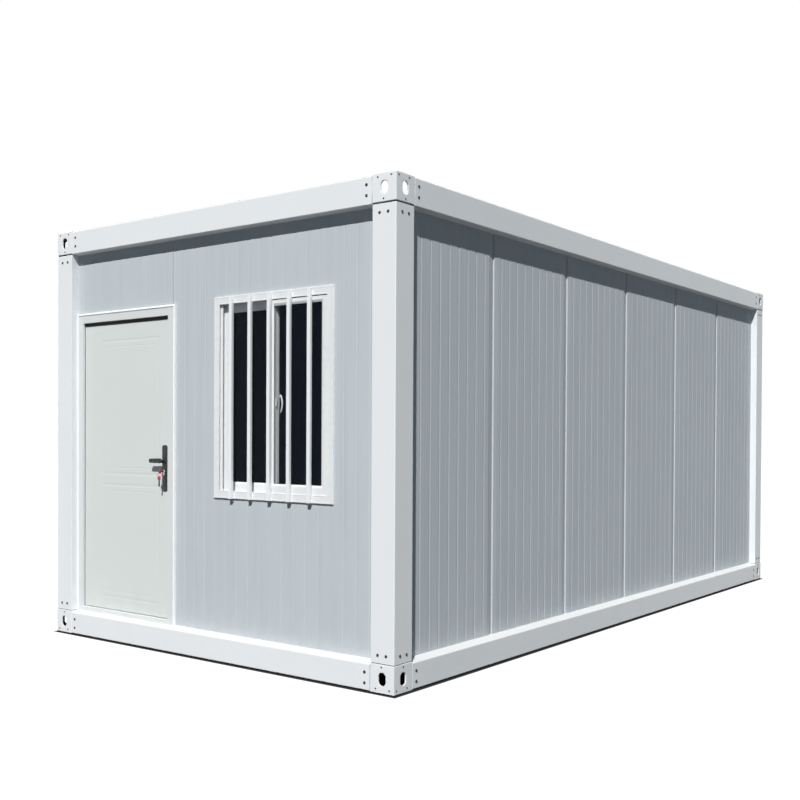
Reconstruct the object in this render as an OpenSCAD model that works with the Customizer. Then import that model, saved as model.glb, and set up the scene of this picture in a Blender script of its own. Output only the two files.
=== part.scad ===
// Flat-pack container house: a white steel frame of corner blocks, posts and beams, sandwich-panel walls,
// one hinged door with a lever handle and one sliding window behind upright security bars.
// Millimetres, +Z up. The front faces -Y, and the origin is on the ground, at the middle of the footprint.

/* [House] */
// Width across the front, outside the frame
house_w = 3000; // [2950:10:3100]
// Length from front to rear, outside the frame
house_l = 5950; // [5900:10:6050]
// Height from the ground to the top of the roof corners
house_h = 2800; // [2760:10:2900]

/* [Steel frame] */
// Outside width of a corner post or corner block
post_w = 165; // [160:1:175]
// How far the wall faces stand back from the frame faces
wall_setback = 60; // [55:1:66]
// Thickness of the folded steel
steel_t = 4; // [3:0.5:5]
// Height of a base corner block
base_block_h = 160; // [154:1:162]
// Height of a roof corner block
roof_block_h = 155; // [150:1:155]
// Plate thickness of a corner block
block_wall = 10; // [8:1:14]
// How far a post's faces stand behind the faces of its corner blocks
post_inset = 4; // [2:1:6]
// How far a post's legs end short of the sides of its corner blocks
leg_short = 6; // [3:1:10]
// Height of the shadow gap between a roof corner block and its post
neck_h = 8; // [4:1:12]
// How far the post's neck stands back in the shadow gap
neck_inset = 8; // [5:1:12]
// Width of a lifting slot
slot_w = 50; // [40:1:56]
// Length of a lifting slot
slot_l = 72; // [66:1:90]

/* [Beams] */
// Gap between the ground and a base beam, as only the blocks stand on the ground
beam_lift = 2; // [1:1:6]
// Height of a base beam's outer face above the ground
base_face_top = 150; // [148:1:156]
// Rise of the sloping ledge from the base beam's face to the wall
ledge_rise = 18; // [15:1:24]
// Depth of the roof beams' top below the top of the roof corners
roof_beam_drop = 2; // [2:1:8]
// Height of a roof beam's outer face
roof_face_h = 158; // [158:1:168]
// Fall of the soffit from the roof beam's face to the wall
soffit_fall = 4; // [4:1:12]
// Width of a roof beam's top flange
top_flange_w = 80; // [60:1:100]
// Height of the roof sheet's shelf above the beam's lower edge
shelf_h = 60; // [50:1:75]

/* [Walls] */
// Thickness of a sandwich panel
wall_t = 50; // [45:1:55]
// Joint between neighbouring panels
panel_gap = 2; // [1:0.5:3]
// How far a panel tucks in behind a post
panel_tuck = 40; // [30:1:45]
// Panels in each long wall
side_panels = 6; // [5:1:8]
// Panels in the rear wall
rear_panels = 3; // [2:1:4]

/* [Floor and roof] */
// Thickness of the floor deck
deck_t = 22; // [18:1:26]
// Width of a floor joist
joist_w = 50; // [40:1:60]
// Height of a floor joist
joist_h = 100; // [80:1:120]
// Number of floor joists
joist_count = 9; // [7:1:10]
// Thickness of the ceiling panel
ceiling_t = 4; // [3:0.5:4]
// Thickness of the roof sheet
sheet_t = 3; // [2:0.5:4]
// Number of standing seams on the roof sheet
seam_count = 11; // [8:1:14]
// Height of a standing seam
seam_h = 25; // [15:1:35]
// Width of a standing seam
seam_w = 30; // [20:1:40]

/* [Door] */
// Gap between the left post and the door frame
door_post_gap = 5; // [3:1:12]
// Clear width between the jambs
door_clear_w = 886; // [850:1:895]
// Height of the wall left over the door frame's lining
door_head_wall = 458; // [420:1:520]
// Height of the threshold above the base ledge
threshold_h = 28; // [24:1:40]
// Width of a jamb's outside face
jamb_face = 66; // [60:1:75]
// Height of the head's outside face
head_face = 63; // [50:1:75]
// How far the door frame stands proud of the wall
door_proud = 14; // [10:1:20]
// Thickness of the frame's lining in the wall
lining_t = 9; // [6:1:10]
// Thickness of the door leaf
leaf_t = 40; // [36:1:41]
// How far the leaf's face lies behind the frame's face
leaf_recess = 22; // [18:1:23]
// Lap of the leaf behind the frame's stop
leaf_lap = 5; // [3:0.5:7]
// Gap between the leaf and the frame's stop, filled by the seal
seal_gap = 5; // [5:0.5:8]
// Gap at the leaf's hinged edge, top and foot
leaf_gap = 5; // [5:0.5:8]
// Gap at the leaf's lock edge, where it swings past the lining
lock_gap = 7; // [7:0.5:10]

/* [Hinges] */
// Number of hinges
hinge_count = 3; // [2:1:4]
// Height of a hinge
hinge_h = 99; // [75:3:120]
// Radius of a hinge knuckle
knuckle_r = 8; // [7:0.5:9]
// Radius of a hinge pin
pin_r = 4; // [3:0.5:5]
// Running clearance around a hinge pin
pin_clear = 0.1; // [0.05:0.05:0.2]
// Gap between neighbouring knuckles
knuckle_gap = 0.5; // [0.3:0.1:1]
// Thickness of a hinge flap
flap_t = 3; // [2:0.5:4]
// Width of a hinge flap
flap_w = 36; // [25:1:45]

/* [Lever handle] */
// Height of the lever's spindle above the ground
lever_z = 1218; // [1150:1:1260]
// Distance from the leaf's lock edge to the spindle
backset = 51; // [46:1:60]
// Width of a lock plate
plate_w = 48; // [40:1:52]
// Height of a lock plate
plate_h = 300; // [260:1:320]
// How far a lock plate reaches above the spindle
plate_rise = 106; // [90:1:120]
// Thickness of a lock plate
plate_t = 8; // [5:1:10]
// Radius of the spindle
spindle_r = 7; // [5:0.5:8]
// Running clearance around the spindle in the lock plates
spindle_clear = 0.1; // [0.05:0.05:0.2]
// Clearance around the spindle in the leaf
spindle_room = 4; // [2:0.5:6]
// Radius of the lever's neck and of its rounded ends
neck_r = 14; // [10:0.5:16]
// Gap between a lock plate and the lever's grip
grip_gap = 34; // [28:1:36]
// Thickness of the lever's grip
grip_t = 16; // [12:1:18]
// Length of the grip from the spindle to its rounded end
grip_l = 106; // [90:1:120]

/* [Window] */
// Share of the wall beside the window trim that lies on its left
window_place = 0.537; // [0.45:0.001:0.6]
// Height of the wall under the window trim
window_sill_wall = 834; // [780:1:880]
// Height of the wall over the window trim
window_head_wall = 396; // [360:1:480]
// Share of the width between door frame and right post that the window trim takes
trim_share = 0.589; // [0.57:0.001:0.61]
// Width of the trim's face
trim_face = 48; // [42:1:54]
// How far the trim stands proud of the wall
window_proud = 10; // [8:1:13]
// Lap of the trim over the wall around the opening
trim_lap = 15; // [8:1:18]
// Thickness of the trim's lip in front of the sashes
lip_t = 3; // [2:0.5:4]
// Depth of the sash channel behind the trim's face
channel_d = 8; // [5:1:12]
// Thickness of a sash
sash_t = 20; // [16:1:21]
// Gap between the tracks
track_gap = 13; // [10:0.5:15]
// Width of a sash's jamb stile
jamb_stile = 68; // [50:1:80]
// Width of a sash's meeting stile
meeting_stile = 32; // [26:1:40]
// Height of a sash's bottom rail
bottom_rail = 61; // [45:1:70]
// Height of the outer sash's top rail
outer_top_rail = 33; // [25:1:45]
// Height of the inner sash's top rail
inner_top_rail = 58; // [45:1:65]
// Gap over the outer sash, under the head of the channel
outer_head_gap = 12; // [6:1:16]
// Thickness of the glass
glass_t = 5; // [4:0.5:6]
// Depth of the glass in the sash's groove
glass_lap = 8; // [6:1:10]

/* [Security bars] */
// Number of bars
bar_count = 5; // [4:1:7]
// Distance from the clear opening's edge to the middle of the nearest bar
bar_edge = 119; // [100:1:150]
// How far the row of bars stands left of the window's middle
bar_shift = 5; // [0:1:10]
// Width of a bar
bar_w = 24; // [20:1:30]
// Depth of a bar
bar_d = 20; // [14:1:24]
// Wall thickness of a bar's tube
bar_wall = 2; // [1.5:0.5:3]
// How far the bars reach below the window trim
bar_foot = 0; // [0:1:45]
// How far the bars' tops stay below the top of the trim
bar_head = 10; // [5:1:20]

/* [Hidden] */
$fn = 48;
// Overshoot of a cut past the face it opens
over = 1;
half_w = house_w / 2;
half_l = house_l / 2;
// Turns about Z and distances that take the front side to each side of the house
front_side = [0, half_l];
right_side = [90, half_w];
rear_side = [180, half_l];
left_side = [-90, half_w];

// Square core of a post, against which the wall panels end
core_w = post_w - panel_tuck;
leg_w = post_w - leg_short;
wall_back = wall_setback + wall_t;
flange_lip = 2;
flange_w = wall_back + flange_lip;
// Base beam: outer face, sloping ledge, flat bearing under the wall, all of one folded thickness
ledge_slope = ledge_rise / wall_setback;
ledge_fold = steel_t * sqrt(1 + ledge_slope * ledge_slope);
wall_z0 = base_face_top + ledge_rise;
deck_z0 = wall_z0 - steel_t;
ledge_end = (deck_z0 - base_face_top + ledge_fold) / ledge_slope;
base_profile = [
    [0, beam_lift], [0, base_face_top], [wall_setback, wall_z0], [flange_w, wall_z0],
    [flange_w, deck_z0], [ledge_end, deck_z0], [steel_t, base_face_top - ledge_fold + ledge_slope * steel_t],
    [steel_t, beam_lift + steel_t], [flange_w, beam_lift + steel_t], [flange_w, beam_lift]
];
// Roof beam: outer face, soffit that falls to the wall, shelf for the roof sheet, top flange
roof_z1 = house_h - roof_beam_drop;
roof_face_z = roof_z1 - roof_face_h;
wall_z1 = roof_face_z - soffit_fall;
ceiling_z0 = wall_z1 + steel_t;
soffit_slope = soffit_fall / wall_setback;
soffit_fold = steel_t * sqrt(1 + soffit_slope * soffit_slope);
soffit_end = (roof_face_z + soffit_fold - ceiling_z0) / soffit_slope;
shelf_z = roof_face_z + shelf_h;
sheet_z0 = shelf_z + steel_t;
roof_profile = [
    [0, roof_z1], [0, roof_face_z], [wall_setback, wall_z1], [flange_w, wall_z1], [flange_w, ceiling_z0],
    [soffit_end, ceiling_z0], [steel_t, roof_face_z + soffit_fold - soffit_slope * steel_t],
    [steel_t, shelf_z], [flange_w, shelf_z], [flange_w, sheet_z0], [steel_t, sheet_z0],
    [steel_t, roof_z1 - steel_t], [top_flange_w, roof_z1 - steel_t], [top_flange_w, roof_z1]
];
wall_h = wall_z1 - wall_z0;
// Clearance of the deck, ceiling and roof sheet around the posts and blocks
corner_clear = 2;
// Inset of a bearing edge that lies in a beam's channel, past the fold of its slope
fold_clear = 1;
ceiling_inset = max(soffit_end, ledge_end) + fold_clear;
sheet_inset = 2 * steel_t;
seam_clear = 8;
seam_inset = flange_w + seam_clear;

// Door, in X along the front and in depth behind the frame's front face
clear_x0 = leg_w + door_post_gap + jamb_face - half_w;
clear_x1 = clear_x0 + door_clear_w;
leaf_x0 = clear_x0 - leaf_lap;
leaf_x1 = clear_x1 + leaf_lap;
lining_x0 = leaf_x0 - leaf_gap;
lining_x1 = leaf_x1 + lock_gap;
threshold_z = wall_z0 + threshold_h;
lining_z1 = wall_z1 - door_head_wall - lining_t;
leaf_z0 = threshold_z + leaf_gap;
leaf_z1 = lining_z1 - leaf_gap;
head_z = leaf_z1 - leaf_lap;
door_front = wall_setback - door_proud;
leaf_front = door_front + leaf_recess;
leaf_back = leaf_front + leaf_t;
stop_back = leaf_front - seal_gap;
// Hinge axis, on the room side of the lining's edge
hinge_x = lining_x0;
hinge_depth = wall_back + flap_t / 2 + knuckle_r - 1;
hinge_end = 200;
hinge_step = (leaf_z1 - leaf_z0 - 2 * hinge_end - hinge_h) / (hinge_count - 1);
knuckle_h = hinge_h / 3;
lever_x = leaf_x1 - backset;
plate_z0 = lever_z + plate_rise - plate_h;

// Window, in X along the front and in depth behind the frame's front face
bay_x0 = clear_x1 + jamb_face;
bay_w = half_w - post_w - bay_x0;
trim_w = trim_share * bay_w;
trim_x0 = bay_x0 + window_place * (bay_w - trim_w);
trim_x1 = trim_x0 + trim_w;
window_x = (trim_x0 + trim_x1) / 2;
window_front = wall_setback - window_proud;
window_z = wall_z0 + window_sill_wall;
trim_z1 = wall_z1 - window_head_wall;
hole_x0 = trim_x0 + trim_lap;
hole_x1 = trim_x1 - trim_lap;
hole_z0 = window_z + trim_lap;
hole_z1 = trim_z1 - trim_lap;
sash_side = trim_face - channel_d;
channel_x0 = trim_x0 + sash_side;
channel_x1 = trim_x1 - sash_side;
channel_z0 = window_z + sash_side;
channel_z1 = trim_z1 - sash_side;
sash_clear = 1;
channel_front = window_front + lip_t;
outer_track = channel_front + sash_clear;
inner_track = outer_track + sash_t + track_gap;
track_rib_t = 2;
track_rib_h = 14;
window_back = wall_back + flange_lip;

// Moves a shape, drawn inward from the outer faces of a corner, to one corner of the house
module at_corner(side_x, side_y) {
    translate([side_x * half_w, side_y * half_l, 0])
        mirror([side_x > 0 ? 1 : 0, 0, 0])
            mirror([0, side_y > 0 ? 1 : 0, 0])
                children();
}

// Box on the front side: X range, depth range behind the frame's front face, Z range
module front_box(x, depth, z) {
    translate([x[0], depth[0] - half_l, z[0]])
        cube([x[1] - x[0], depth[1] - depth[0], z[1] - z[0]]);
}

// Slot with round ends, long in Y, cut upward in Z
module slot_cut(depth) {
    straight = slot_l - slot_w;
    for (end = [-1, 1])
        translate([0, end * straight / 2, 0])
            cylinder(d = slot_w, h = depth);
    translate([-slot_w / 2, -straight / 2, 0])
        cube([slot_w, straight, depth]);
}

// Corner block of four plates, open on its inner sides, with a slot in each outer face and one in its end
module corner_block(block_h, end_z) {
    cut = block_wall + 2 * over;
    inside = post_w - block_wall + over;
    difference() {
        cube([post_w, post_w, block_h]);
        translate([block_wall, block_wall, block_wall])
            cube([inside, inside, block_h - 2 * block_wall]);
        translate([post_w / 2, block_wall + over, block_h / 2])
            rotate([90, 0, 0])
                slot_cut(cut);
        translate([block_wall + over, post_w / 2, block_h / 2])
            rotate([90, 0, -90])
                slot_cut(cut);
        translate([post_w / 2, post_w / 2, end_z - over])
            rotate([0, 0, 90])
                slot_cut(cut);
    }
}

module base_corner(side_x, side_y) {
    color("whitesmoke")
        at_corner(side_x, side_y)
            corner_block(base_block_h, 0);
}

module roof_corner(side_x, side_y) {
    color("whitesmoke")
        at_corner(side_x, side_y)
            translate([0, 0, house_h - roof_block_h])
                corner_block(roof_block_h, roof_block_h - block_wall);
}

// Post outline: two legs that cover the wall ends and a core between the walls, shrunk by an inset
function post_outline(inset) = [
    [post_inset + inset, post_inset + inset], [leg_w - inset, post_inset + inset],
    [leg_w - inset, wall_setback - inset], [core_w - inset, wall_setback - inset],
    [core_w - inset, core_w - inset], [wall_setback - inset, core_w - inset],
    [wall_setback - inset, leg_w - inset], [post_inset + inset, leg_w - inset]
];

// Hollow post, closed by a plate at its top, with a set-back neck under the roof corner block
module corner_post(side_x, side_y) {
    post_h = house_h - base_block_h - roof_block_h;
    shaft_h = post_h - neck_h;
    color("whitesmoke")
        at_corner(side_x, side_y)
            translate([0, 0, base_block_h])
                difference() {
                    union() {
                        linear_extrude(height = shaft_h)
                            polygon(post_outline(0));
                        linear_extrude(height = post_h)
                            polygon(post_outline(neck_inset));
                    }
                    translate([0, 0, -over])
                        linear_extrude(height = shaft_h - steel_t + over)
                            polygon(post_outline(steel_t));
                }
}

// Folded beam between two corners, its profile drawn as depth behind the outer face against height
module frame_beam(side, length, profile) {
    color("whitesmoke")
        rotate([0, 0, side[0]])
            translate([0, -side[1], 0])
                rotate([90, 0, 90])
                    linear_extrude(height = length, center = true)
                        polygon(profile);
}

module base_beam(side, length) {
    frame_beam(side, length - 2 * post_w, base_profile);
}

module roof_beam(side, length) {
    frame_beam(side, length - 2 * post_w, roof_profile);
}

// Level plate that fills the frame up to an inset and stays clear of the corners
module corner_cut_plate(inset, corner, core, thickness) {
    for (cut = [[inset, corner], [corner, inset], [core, core]])
        translate([cut[0] - half_w, cut[1] - half_l, 0])
            cube([house_w - 2 * cut[0], house_l - 2 * cut[1], thickness]);
}

module floor_joists() {
    run = house_w - 2 * ceiling_inset;
    step = (house_l - 2 * flange_w) / (joist_count + 1);
    color("gainsboro")
        for (i = [1 : joist_count])
            translate([-run / 2, flange_w - half_l + i * step - joist_w / 2, deck_z0 - joist_h])
                difference() {
                    cube([run, joist_w, joist_h]);
                    translate([-over, steel_t, steel_t])
                        cube([run + 2 * over, joist_w - 2 * steel_t, joist_h - 2 * steel_t]);
                }
}

module floor_deck() {
    color("tan")
        translate([0, 0, deck_z0])
            corner_cut_plate(flange_w, core_w + corner_clear, core_w + corner_clear, deck_t);
}

module ceiling() {
    color("white")
        translate([0, 0, ceiling_z0])
            corner_cut_plate(ceiling_inset, post_w + corner_clear, core_w + corner_clear, ceiling_t);
}

module roof_sheet() {
    seam_run = house_w - 2 * seam_inset;
    seam_step = (house_l - 2 * seam_inset) / seam_count;
    color("lightsteelblue")
        translate([0, 0, sheet_z0]) {
            corner_cut_plate(sheet_inset, post_w + corner_clear, post_w + corner_clear, sheet_t);
            for (i = [0 : seam_count - 1])
                translate([-seam_run / 2, (i + 0.5) * seam_step + seam_inset - half_l - seam_w / 2, 0])
                    cube([seam_run, seam_w, sheet_t + seam_h]);
        }
}

// Row of equal sandwich panels between the posts on one side of the house
module wall_panels(side, length, count) {
    pitch = (length - 2 * core_w) / count;
    color("lightslategray")
        rotate([0, 0, side[0]])
            for (i = [0 : count - 1])
                translate([(i - count / 2) * pitch + panel_gap / 2, wall_setback - side[1], wall_z0])
                    cube([pitch - panel_gap, wall_t, wall_h]);
}

// Upright panels of the front wall: beside the hinges, between door and window, and right of the window
module front_wall_panels() {
    end_x = half_w - core_w - panel_gap / 2;
    door_left = lining_x0 - lining_t - panel_gap;
    door_right = lining_x1 + lining_t + panel_gap;
    color("lightslategray")
        for (x = [[-end_x, door_left], [door_right, hole_x0 - panel_gap], [hole_x1 + panel_gap, end_x]])
            front_box(x, [wall_setback, wall_back], [wall_z0, wall_z1]);
}

// Panels over the door and over the window
module front_wall_head_panels() {
    door_x_range = [lining_x0 - lining_t, lining_x1 + lining_t];
    color("lightslategray") {
        front_box(door_x_range, [wall_setback, wall_back], [lining_z1 + lining_t, wall_z1]);
        front_box([hole_x0, hole_x1], [wall_setback, wall_back], [hole_z1, wall_z1]);
    }
}

// Panel under the window
module front_wall_sill_panel() {
    color("lightslategray")
        front_box([hole_x0, hole_x1], [wall_setback, wall_back], [wall_z0, hole_z0]);
}

// Door frame: a face that laps the wall and stops the leaf, a lining through the wall and a threshold
module door_frame() {
    color("white")
        difference() {
            union() {
                front_box([clear_x0 - jamb_face, clear_x1 + jamb_face], [door_front, wall_setback],
                          [wall_z0, head_z + head_face]);
                front_box([lining_x0 - lining_t, lining_x1 + lining_t], [door_front, wall_back],
                          [wall_z0, lining_z1 + lining_t]);
            }
            front_box([clear_x0, clear_x1], [door_front - over, wall_back + over], [threshold_z, head_z]);
            front_box([lining_x0, lining_x1], [stop_back, wall_back + over], [threshold_z, lining_z1]);
        }
}

// One knuckle of a hinge, with its place in the stack of three
module knuckle(place, r) {
    translate([0, 0, place * knuckle_h])
        cylinder(r = r, h = knuckle_h);
}

// Heights at which the hinges stand, moved to the hinge axis
module at_hinges() {
    for (i = [0 : hinge_count - 1])
        translate([hinge_x, hinge_depth - half_l, leaf_z0 + hinge_end + i * hinge_step])
            children();
}

// Fixed half of each hinge: flap on the wall, two knuckles and the pin
module door_hinges() {
    flap_y = wall_back - hinge_depth;
    color("gainsboro")
        at_hinges() {
            for (place = [0, 2]) {
                knuckle(place, knuckle_r);
                translate([-knuckle_r - over, flap_y, place * knuckle_h])
                    cube([knuckle_r + over, flap_t, knuckle_h]);
            }
            translate([-flap_w - knuckle_r, flap_y, 0])
                cube([flap_w, flap_t, hinge_h]);
            cylinder(r = pin_r, h = hinge_h);
        }
}

// Moving half of each hinge: flap on the leaf and the middle knuckle
module door_hinge_flaps() {
    flap_y = leaf_back - hinge_depth;
    color("gainsboro")
        at_hinges()
            difference() {
                translate([0, 0, knuckle_h + knuckle_gap])
                    union() {
                        cylinder(r = knuckle_r, h = knuckle_h - 2 * knuckle_gap);
                        translate([0, flap_y, 0])
                            cube([knuckle_r, -flap_y, knuckle_h - 2 * knuckle_gap]);
                        translate([knuckle_r, flap_y, 0])
                            cube([flap_w, flap_t, knuckle_h - 2 * knuckle_gap]);
                    }
                translate([0, 0, knuckle_h - over])
                    cylinder(r = pin_r + pin_clear, h = knuckle_h + 2 * over);
            }
}

// Shaft along the spindle's axis, over a depth range
module on_spindle(depth, r) {
    translate([lever_x, depth[0] - half_l, lever_z])
        rotate([-90, 0, 0])
            cylinder(r = r, h = depth[1] - depth[0]);
}

module door_leaf() {
    color("whitesmoke")
        difference() {
            front_box([leaf_x0, leaf_x1], [leaf_front, leaf_back], [leaf_z0, leaf_z1]);
            on_spindle([leaf_front - over, leaf_back + over], spindle_r + spindle_room);
        }
}

// Lock plates on both faces of the leaf
module lock_plates() {
    color("dimgray")
        for (depth = [[leaf_front - plate_t, leaf_front], [leaf_back, leaf_back + plate_t]])
            difference() {
                front_box([lever_x - plate_w / 2, lever_x + plate_w / 2], depth,
                          [plate_z0, plate_z0 + plate_h]);
                on_spindle([depth[0] - over, depth[1] + over], spindle_r + spindle_clear);
            }
}

// Grip of the lever, with its round ends, pointing to the hinges
module lever_grip(depth0) {
    on_spindle([depth0, depth0 + grip_t], neck_r);
    translate([-grip_l, 0, 0])
        on_spindle([depth0, depth0 + grip_t], neck_r);
    front_box([lever_x - grip_l, lever_x], [depth0, depth0 + grip_t], [lever_z - neck_r, lever_z + neck_r]);
}

// Lever handle: a grip on each side of the leaf, on one spindle
module door_lever() {
    outer_grip = leaf_front - plate_t - grip_gap - grip_t;
    inner_grip = leaf_back + plate_t + grip_gap;
    color("dimgray") {
        lever_grip(outer_grip);
        lever_grip(inner_grip);
        on_spindle([outer_grip, inner_grip + grip_t], spindle_r);
    }
}

// Window frame: a trim that laps the wall, a lining with the sash channel and a rib between the tracks
module window_frame() {
    rib_depth = inner_track - track_gap / 2;
    color("white") {
        difference() {
            union() {
                front_box([trim_x0, trim_x1], [window_front, wall_setback], [window_z, trim_z1]);
                front_box([hole_x0, hole_x1], [window_front, window_back], [hole_z0, hole_z1]);
            }
            front_box([trim_x0 + trim_face, trim_x1 - trim_face], [window_front - over, window_back + over],
                      [window_z + trim_face, trim_z1 - trim_face]);
            front_box([channel_x0, channel_x1], [channel_front, window_back + over],
                      [channel_z0, channel_z1]);
        }
        for (z = [channel_z0, channel_z1 - track_rib_h])
            front_box([channel_x0, channel_x1], [rib_depth - track_rib_t / 2, rib_depth + track_rib_t / 2],
                      [z, z + track_rib_h]);
    }
}

// Opening of a sash inside its stiles and rails: X range and Z range
function sash_opening(x, z1, stiles, top_rail) = [
    [x[0] + stiles[0], x[1] - stiles[1]], [channel_z0 + bottom_rail, z1 - top_rail]
];
outer_x = [window_x - meeting_stile / 2, channel_x1 - sash_clear];
inner_x = [channel_x0 + sash_clear, window_x + meeting_stile / 2];
outer_z1 = channel_z1 - outer_head_gap;
inner_z1 = channel_z1 - sash_clear;
outer_opening = sash_opening(outer_x, outer_z1, [meeting_stile, jamb_stile], outer_top_rail);
inner_opening = sash_opening(inner_x, inner_z1, [jamb_stile, meeting_stile], inner_top_rail);

// A range made longer by the same amount at both ends
function widened(range, by) = [range[0] - by, range[1] + by];

// Depth range of the glass, or of its wider groove, in the middle of a sash
function glass_depth(track, slack) = [
    track + (sash_t - glass_t) / 2 - slack, track + (sash_t + glass_t) / 2 + slack
];

// Sash of a sliding window, with a groove for its glass
module sash(x, z1, track, opening) {
    groove_slack = 0.5;
    color("white")
        difference() {
            front_box(x, [track, track + sash_t], [channel_z0, z1]);
            front_box(opening[0], [track - over, track + sash_t + over], opening[1]);
            front_box(widened(opening[0], glass_lap), glass_depth(track, groove_slack),
                      widened(opening[1], glass_lap));
        }
}

module window_sash_outer() {
    sash(outer_x, outer_z1, outer_track, outer_opening);
}

module window_sash_inner() {
    sash(inner_x, inner_z1, inner_track, inner_opening);
}

// The two panes, each in the groove of its sash
module window_glass() {
    color("darkslategray") {
        front_box(widened(outer_opening[0], glass_lap), glass_depth(outer_track, 0),
                  widened(outer_opening[1], glass_lap));
        front_box(widened(inner_opening[0], glass_lap), glass_depth(inner_track, 0),
                  widened(inner_opening[1], glass_lap));
    }
}

// Upright tubes fixed to the face of the window trim
module security_bars() {
    bar_z = [window_z - bar_foot, trim_z1 - bar_head];
    bar_margin = trim_face + bar_edge;
    bar_x0 = trim_x0 + bar_margin - bar_shift;
    bar_pitch = (trim_w - 2 * bar_margin) / (bar_count - 1);
    color("white")
        for (i = [0 : bar_count - 1]) {
            x = bar_x0 + i * bar_pitch;
            difference() {
                front_box([x - bar_w / 2, x + bar_w / 2], [window_front - bar_d, window_front], bar_z);
                front_box([x - bar_w / 2 + bar_wall, x + bar_w / 2 - bar_wall],
                          [window_front - bar_d + bar_wall, window_front - bar_wall], widened(bar_z, over));
            }
        }
}

base_corner(-1, -1);  // base_corner_front_left
base_corner(1, -1);  // base_corner_front_right
base_corner(-1, 1);  // base_corner_rear_left
base_corner(1, 1);  // base_corner_rear_right
corner_post(-1, -1);  // corner_post_front_left
corner_post(1, -1);  // corner_post_front_right
corner_post(-1, 1);  // corner_post_rear_left
corner_post(1, 1);  // corner_post_rear_right
roof_corner(-1, -1);  // roof_corner_front_left
roof_corner(1, -1);  // roof_corner_front_right
roof_corner(-1, 1);  // roof_corner_rear_left
roof_corner(1, 1);  // roof_corner_rear_right
base_beam(front_side, house_w);  // base_beam_front
base_beam(rear_side, house_w);  // base_beam_rear
base_beam(left_side, house_l);  // base_beam_left
base_beam(right_side, house_l);  // base_beam_right
roof_beam(front_side, house_w);  // roof_beam_front
roof_beam(rear_side, house_w);  // roof_beam_rear
roof_beam(left_side, house_l);  // roof_beam_left
roof_beam(right_side, house_l);  // roof_beam_right
floor_joists();
floor_deck();
ceiling();
roof_sheet();
wall_panels(left_side, house_l, side_panels);  // left_wall_panels
wall_panels(right_side, house_l, side_panels);  // right_wall_panels
wall_panels(rear_side, house_w, rear_panels);  // rear_wall_panels
front_wall_panels();
front_wall_head_panels();
front_wall_sill_panel();
door_frame();
door_hinges();
door_leaf();
door_hinge_flaps();
lock_plates();
door_lever();
window_frame();
window_sash_outer();
window_sash_inner();
window_glass();
security_bars();
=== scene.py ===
import math

import bmesh
import bpy
from mathutils import Matrix, Vector


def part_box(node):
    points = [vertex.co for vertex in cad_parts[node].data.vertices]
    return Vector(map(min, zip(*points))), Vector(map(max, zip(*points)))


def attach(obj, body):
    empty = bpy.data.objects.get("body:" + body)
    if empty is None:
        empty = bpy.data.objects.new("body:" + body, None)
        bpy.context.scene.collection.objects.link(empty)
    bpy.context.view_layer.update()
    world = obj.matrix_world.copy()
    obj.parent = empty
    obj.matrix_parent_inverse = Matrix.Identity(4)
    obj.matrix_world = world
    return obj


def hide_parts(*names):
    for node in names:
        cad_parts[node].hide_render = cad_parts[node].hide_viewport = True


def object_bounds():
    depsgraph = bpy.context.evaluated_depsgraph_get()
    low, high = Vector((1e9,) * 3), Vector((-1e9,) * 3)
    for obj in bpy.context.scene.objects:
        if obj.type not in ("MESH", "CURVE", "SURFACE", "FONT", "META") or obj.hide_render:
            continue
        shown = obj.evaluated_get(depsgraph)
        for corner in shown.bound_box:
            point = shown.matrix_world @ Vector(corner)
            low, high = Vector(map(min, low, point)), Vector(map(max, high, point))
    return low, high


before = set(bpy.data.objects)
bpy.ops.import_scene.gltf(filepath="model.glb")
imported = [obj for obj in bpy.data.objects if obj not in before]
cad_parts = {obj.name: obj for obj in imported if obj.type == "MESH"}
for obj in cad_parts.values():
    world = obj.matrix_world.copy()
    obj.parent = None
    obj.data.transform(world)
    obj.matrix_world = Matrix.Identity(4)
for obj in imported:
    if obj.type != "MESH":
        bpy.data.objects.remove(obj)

cad_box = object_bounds()
LOW, HIGH = cad_box
X_AXIS, Y_AXIS, Z_AXIS = Vector((1, 0, 0)), Vector((0, 1, 0)), Vector((0, 0, 1))

# Camera of the photograph, solved from the house's own corners
CAMERA_PLACE = (4.866, -7.3712, 1.392)
CAMERA_YAW, CAMERA_PITCH, CAMERA_ROLL = 37.169, -0.6414, 0.2896
CAMERA_LENS = 46.8803
CAMERA_SHIFT_Y = 0.0592

# Daylight of the photograph: high, from the front right
SUN_FROM = Vector((0.306, -0.585, 0.751))
SUN_STRENGTH, SUN_ANGLE = 4.35, 1.2
SUN_COLOUR = (1.0, 0.985, 0.955)
# Weak wide light from behind, for the unseen sides
FILL_FROM = Vector((-0.60, 0.78, 0.20))
FILL_STRENGTH, FILL_ANGLE = 1.6, 30
SKY_COLOUR, SKY_STRENGTH = (0.64, 0.82, 1.0, 1.0), 0.17

# Floor: half its length, its thickness, its grey where it only lights the house, and where it is seen, its
# tone of painted contact shadow at the foot of the house, its tone in the open, and its glow
FLOOR_REACH, FLOOR_T = 60, 0.05
FLOOR_GREY = (0.10, 0.10, 0.10, 1.0)
FLOOR_SHADOW, FLOOR_PALE, FLOOR_GLOW = 0.03, 0.22, 0.84
# Painted contact shadow of the house on the floor: its reach on the sunny sides and on the others, and its
# soft edge
SHADOW_STRIP, REAR_SHADOW, SHADOW_FADE = 0.020, 0.004, 0.012

# Corners of the house, and its sides: the axis along each, and the direction in which it looks on the other
CORNERS = {"front_left": (-1, -1), "front_right": (1, -1), "rear_left": (-1, 1), "rear_right": (1, 1)}
SIDES = {"front": (0, -1), "rear": (0, 1), "left": (1, -1), "right": (1, 1)}

# Corner hardware, in metres from the corner's outer edges and from the ground
POST = 0.165
BLOCK_WALL = 0.010
BASE_BLOCK_Z, ROOF_BLOCK_Z = (0.0, 0.160), (2.645, 2.800)
# Height of the painted shade line where a base block stands
FOOT_SHADE_H = 0.006
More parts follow.
